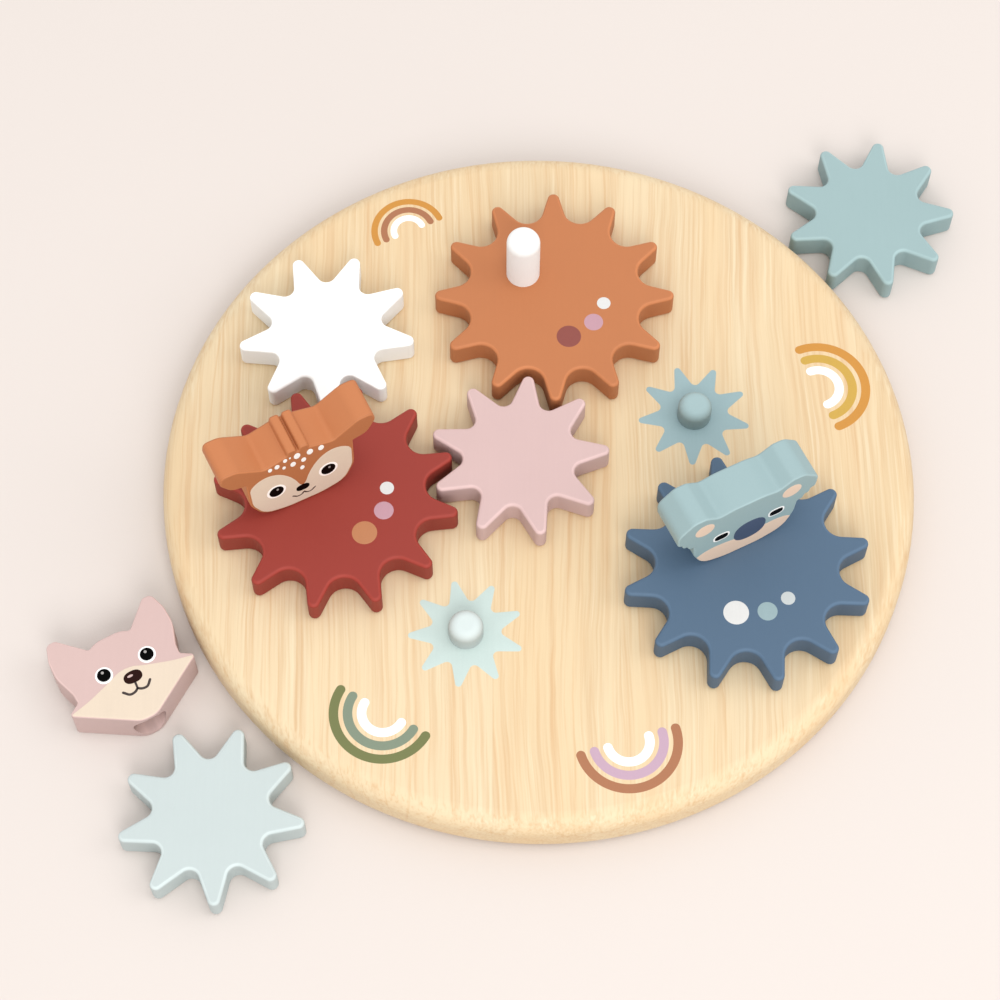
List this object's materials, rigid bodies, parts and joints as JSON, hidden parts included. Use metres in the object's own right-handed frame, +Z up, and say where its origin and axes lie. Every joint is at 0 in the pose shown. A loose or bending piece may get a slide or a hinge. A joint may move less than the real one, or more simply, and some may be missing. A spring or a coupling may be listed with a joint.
{
  "type": "crank gear toy",
  "caption": "Round wooden board with pegs, meshing toy gears, crank pegs and animal head knobs; turning one gear drives its neighbours; spare gears and a head lie beside it.",
  "frame": {"origin": "centre of the round board's underside, on the surface that it stands on", "axes": "+Z up through the board; +Y along the board's grain, away from the person who plays; +X to that person's right"},
  "size_m": [0.342, 0.3146, 0.0721],
  "materials": {
    "board_wood": "clear lacquered pale hardwood, fine straight grain",
    "teal_peg_paint": "teal paint, satin",
    "mint_peg_paint": "mint paint, satin",
    "orange_paint": "orange paint, satin",
    "pink_paint": "pale pink paint, satin",
    "red_paint": "brick red paint, satin",
    "white_paint": "white paint, satin",
    "navy_paint": "grey blue paint, satin",
    "light_blue_paint": "light blue paint, satin",
    "mint_paint": "pale mint paint, satin",
    "crank_peg_paint": "white paint, satin",
    "deer_paint": "brown orange paint with a cream face, satin",
    "koala_paint": "grey blue paint with a printed face, satin",
    "fox_paint": "pale pink paint with a cream face, satin"
  },
  "bodies": {
    "board": {"board": "board_wood", "teal_peg": "teal_peg_paint", "mint_peg": "mint_peg_paint"},
    "orange_axle": {"orange_axle_peg": "orange_paint"},
    "orange_gear": {"orange_gear": "orange_paint"},
    "pink_axle": {"pink_axle_peg": "pink_paint"},
    "pink_gear": {"pink_gear": "pink_paint"},
    "red_axle": {"red_axle_peg": "red_paint"},
    "red_gear": {"red_gear": "red_paint"},
    "white_axle": {"white_axle_peg": "white_paint"},
    "white_gear": {"white_gear": "white_paint"},
    "navy_axle": {"navy_axle_peg": "navy_paint"},
    "navy_gear": {"navy_gear": "navy_paint"},
    "orange_crank": {"orange_crank_peg": "crank_peg_paint"},
    "red_crank": {"red_crank_peg": "crank_peg_paint"},
    "deer": {"deer_head": "deer_paint"},
    "navy_crank": {"navy_crank_peg": "crank_peg_paint"},
    "koala": {"koala_head": "koala_paint"},
    "light_blue_gear": {"light_blue_gear": "light_blue_paint"},
    "mint_gear": {"mint_gear": "mint_paint"},
    "fox": {"fox_head": "fox_paint"}
  },
  "joints": [
    {"name": "orange_spin", "type": "hinge", "parent": "board", "child": "orange_axle", "pos_m": [0.00626, 0.06908, 0.018], "axis": [0, 0, 1], "continuous": true},
    {"name": "orange_gear_lift", "type": "slide", "parent": "orange_axle", "child": "orange_gear", "axis": [0, 0, 1], "range_m": [0, 0.06]},
    {"name": "pink_spin", "type": "hinge", "parent": "board", "child": "pink_axle", "pos_m": [-0.0072, 0.0011, 0.018], "axis": [0, 0, 1], "continuous": true},
    {"name": "pink_gear_lift", "type": "slide", "parent": "pink_axle", "child": "pink_gear", "axis": [0, 0, 1], "range_m": [0, 0.06]},
    {"name": "red_spin", "type": "hinge", "parent": "board", "child": "red_axle", "pos_m": [-0.07453, -0.01531, 0.018], "axis": [0, 0, 1], "continuous": true},
    {"name": "red_gear_lift", "type": "slide", "parent": "red_axle", "child": "red_gear", "axis": [0, 0, 1], "range_m": [0, 0.06]},
    {"name": "white_spin", "type": "hinge", "parent": "board", "child": "white_axle", "pos_m": [-0.07972, 0.05379, 0.018], "axis": [0, 0, 1], "continuous": true},
    {"name": "white_gear_lift", "type": "slide", "parent": "white_axle", "child": "white_gear", "axis": [0, 0, 1], "range_m": [0, 0.06]},
    {"name": "navy_spin", "type": "hinge", "parent": "board", "child": "navy_axle", "pos_m": [0.0747, -0.04392, 0.018], "axis": [0, 0, 1], "continuous": true},
    {"name": "navy_gear_lift", "type": "slide", "parent": "navy_axle", "child": "navy_gear", "axis": [0, 0, 1], "range_m": [0, 0.06]},
    {"name": "orange_crank_spin", "type": "hinge", "parent": "orange_gear", "child": "orange_crank", "pos_m": [-0.00564, 0.07854, 0.0295], "axis": [0, 0, 1], "continuous": true},
    {"name": "red_crank_spin", "type": "hinge", "parent": "red_gear", "child": "red_crank", "pos_m": [-0.0889, -0.01036, 0.0295], "axis": [0, 0, 1], "continuous": true},
    {"name": "deer_lift", "type": "slide", "parent": "red_crank", "child": "deer", "axis": [0, 0, 1], "range_m": [0, 0.05]},
    {"name": "navy_crank_spin", "type": "hinge", "parent": "navy_gear", "child": "navy_crank", "pos_m": [0.06925, -0.02973, 0.0295], "axis": [0, 0, 1], "continuous": true},
    {"name": "koala_lift", "type": "slide", "parent": "navy_crank", "child": "koala", "axis": [0, 0, 1], "range_m": [0, 0.05]},
    {"name": "light_blue_lift", "type": "slide", "parent": "board", "child": "light_blue_gear", "axis": [0, 0, 1], "range_m": [0, 0.06]},
    {"name": "mint_lift", "type": "slide", "parent": "board", "child": "mint_gear", "axis": [0, 0, 1], "range_m": [0, 0.06]},
    {"name": "fox_lift", "type": "slide", "parent": "board", "child": "fox", "axis": [0, 0, 1], "range_m": [0, 0.06]}
  ],
  "couplings": [
    {"joint": "pink_spin", "follows": "orange_spin", "ratio": -1.3333},
    {"joint": "red_spin", "follows": "orange_spin", "ratio": 1},
    {"joint": "white_spin", "follows": "orange_spin", "ratio": -1.3333}
  ]
}
